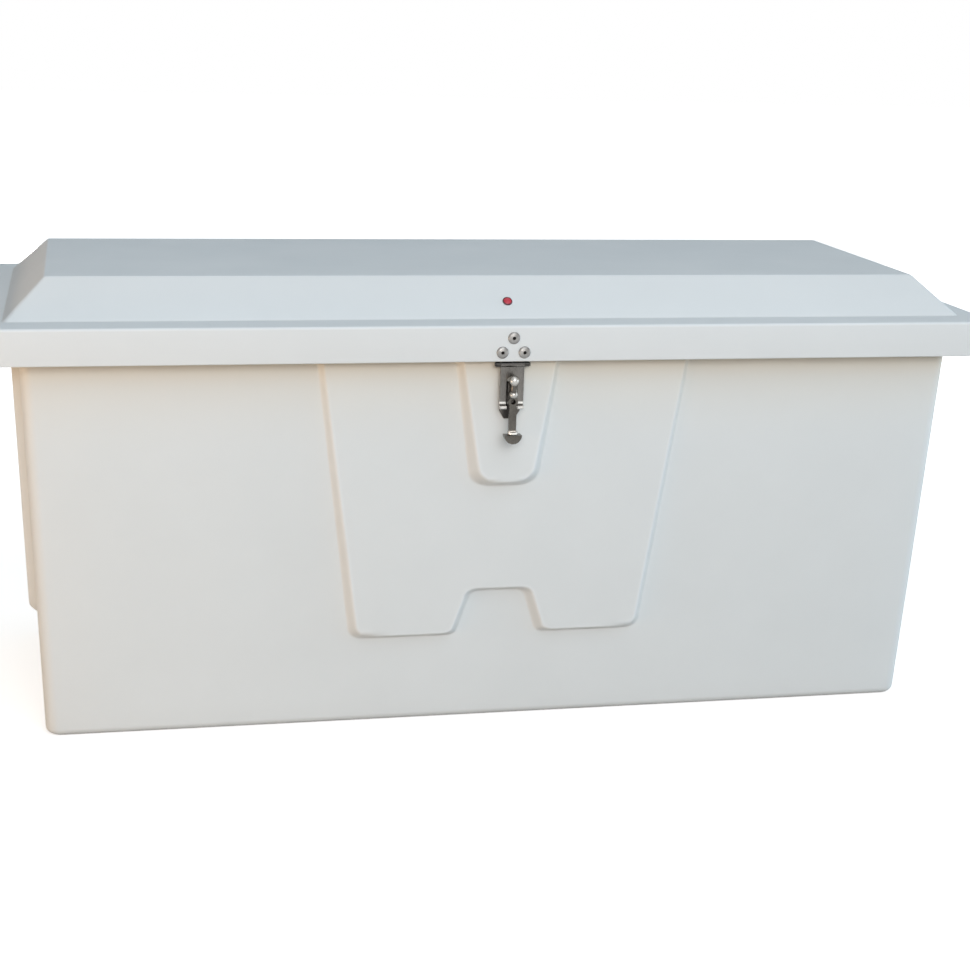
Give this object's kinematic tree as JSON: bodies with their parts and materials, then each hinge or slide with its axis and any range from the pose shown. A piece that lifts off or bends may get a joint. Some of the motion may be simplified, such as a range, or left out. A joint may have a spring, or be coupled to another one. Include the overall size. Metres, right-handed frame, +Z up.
{
  "type": "dock box",
  "caption": "Long moulded dock box with tapered tub, raised front panel, hinged lid with sloped rim, slotted strap hasp with turn lever, rim seal and gas struts.",
  "frame": {"origin": "middle of the base at floor level", "axes": "+X along the box to the right seen from the front, +Y towards the back with the hinges, +Z up"},
  "size_m": [1.285, 0.559, 0.58],
  "materials": {
    "tub_gelcoat": "semi-gloss gelcoat",
    "lid_gelcoat": "semi-gloss gelcoat",
    "seal_rubber": "matt",
    "rivet_alloy": "satin",
    "reflector_rim": "gloss",
    "red_lens": "gloss",
    "bonded_block": "matt",
    "black_tube": "satin",
    "guide_plastic": "matt",
    "rod_chrome": "polished",
    "latch_steel": "satin",
    "hinge_steel": "satin"
  },
  "bodies": {
    "tub_body": {"tub": "tub_gelcoat", "rim_seal": "seal_rubber", "latch_base": "latch_steel", "latch_base_rivets": "rivet_alloy", "hinge_lower_leaf_left": "hinge_steel", "hinge_lower_leaf_centre": "hinge_steel", "hinge_lower_leaf_right": "hinge_steel", "hinge_pins": "hinge_steel", "lower_leaf_rivets": "rivet_alloy", "tub_strut_blocks": "bonded_block", "tub_strut_bracket_left": "hinge_steel", "tub_strut_bracket_right": "hinge_steel", "tub_bracket_screws": "hinge_steel"},
    "lid_body": {"lid": "lid_gelcoat", "hasp_leaf": "latch_steel", "hasp_rivets": "rivet_alloy", "hasp_pin": "hinge_steel", "reflector_rim": "reflector_rim", "reflector_lens": "red_lens", "hinge_upper_leaf_left": "hinge_steel", "hinge_upper_leaf_centre": "hinge_steel", "hinge_upper_leaf_right": "hinge_steel", "upper_leaf_rivets": "rivet_alloy", "lid_strut_blocks": "bonded_block", "lid_strut_bracket_left": "hinge_steel", "lid_strut_bracket_right": "hinge_steel", "lid_bracket_screws": "hinge_steel"},
    "strap_body": {"hasp_strap": "latch_steel"},
    "lever_body": {"turn_lever": "latch_steel", "lever_washer": "hinge_steel", "lever_nut": "hinge_steel"},
    "cylinder_left_body": {"strut_cylinder_left": "black_tube", "strut_guide_left": "guide_plastic"},
    "cylinder_right_body": {"strut_cylinder_right": "black_tube", "strut_guide_right": "guide_plastic"},
    "rod_left_body": {"strut_rod_left": "rod_chrome"},
    "rod_right_body": {"strut_rod_right": "rod_chrome"}
  },
  "joints": [
    {"name": "lid_hinge", "type": "hinge", "parent": "tub_body", "child": "lid_body", "pos_m": [0, 0.2718, 0.486], "axis": [-1, 0, 0], "range_deg": [0, 80]},
    {"name": "hasp_hinge", "type": "hinge", "parent": "lid_body", "child": "strap_body", "pos_m": [0, -0.2628, 0.4836], "axis": [-1, 0, 0], "range_deg": [0, 100]},
    {"name": "lever_turn", "type": "hinge", "parent": "tub_body", "child": "lever_body", "pos_m": [0, -0.2687, 0.4476], "axis": [0, -1, 0], "range_deg": [0, 90]},
    {"name": "strut_cylinder_pivot_left", "type": "hinge", "parent": "tub_body", "child": "cylinder_left_body", "pos_m": [-0.5525, 0.12409, 0.29684], "axis": [-1, 0, 0], "range_deg": [0, 40]},
    {"name": "strut_rod_pivot_left", "type": "hinge", "parent": "lid_body", "child": "rod_left_body", "pos_m": [-0.5525, 0.03891, 0.544], "axis": [-1, 0, 0], "range_deg": [-40, 0]},
    {"name": "strut_cylinder_pivot_right", "type": "hinge", "parent": "tub_body", "child": "cylinder_right_body", "pos_m": [0.5525, 0.12409, 0.29684], "axis": [-1, 0, 0], "range_deg": [0, 40]},
    {"name": "strut_rod_pivot_right", "type": "hinge", "parent": "lid_body", "child": "rod_right_body", "pos_m": [0.5525, 0.03891, 0.544], "axis": [-1, 0, 0], "range_deg": [-40, 0]}
  ],
  "couplings": [
    {"joint": "strut_cylinder_pivot_left", "follows": "lid_hinge", "ratio": 0.5},
    {"joint": "strut_rod_pivot_left", "follows": "lid_hinge", "ratio": -0.5},
    {"joint": "strut_cylinder_pivot_right", "follows": "lid_hinge", "ratio": 0.5},
    {"joint": "strut_rod_pivot_right", "follows": "lid_hinge", "ratio": -0.5}
  ]
}
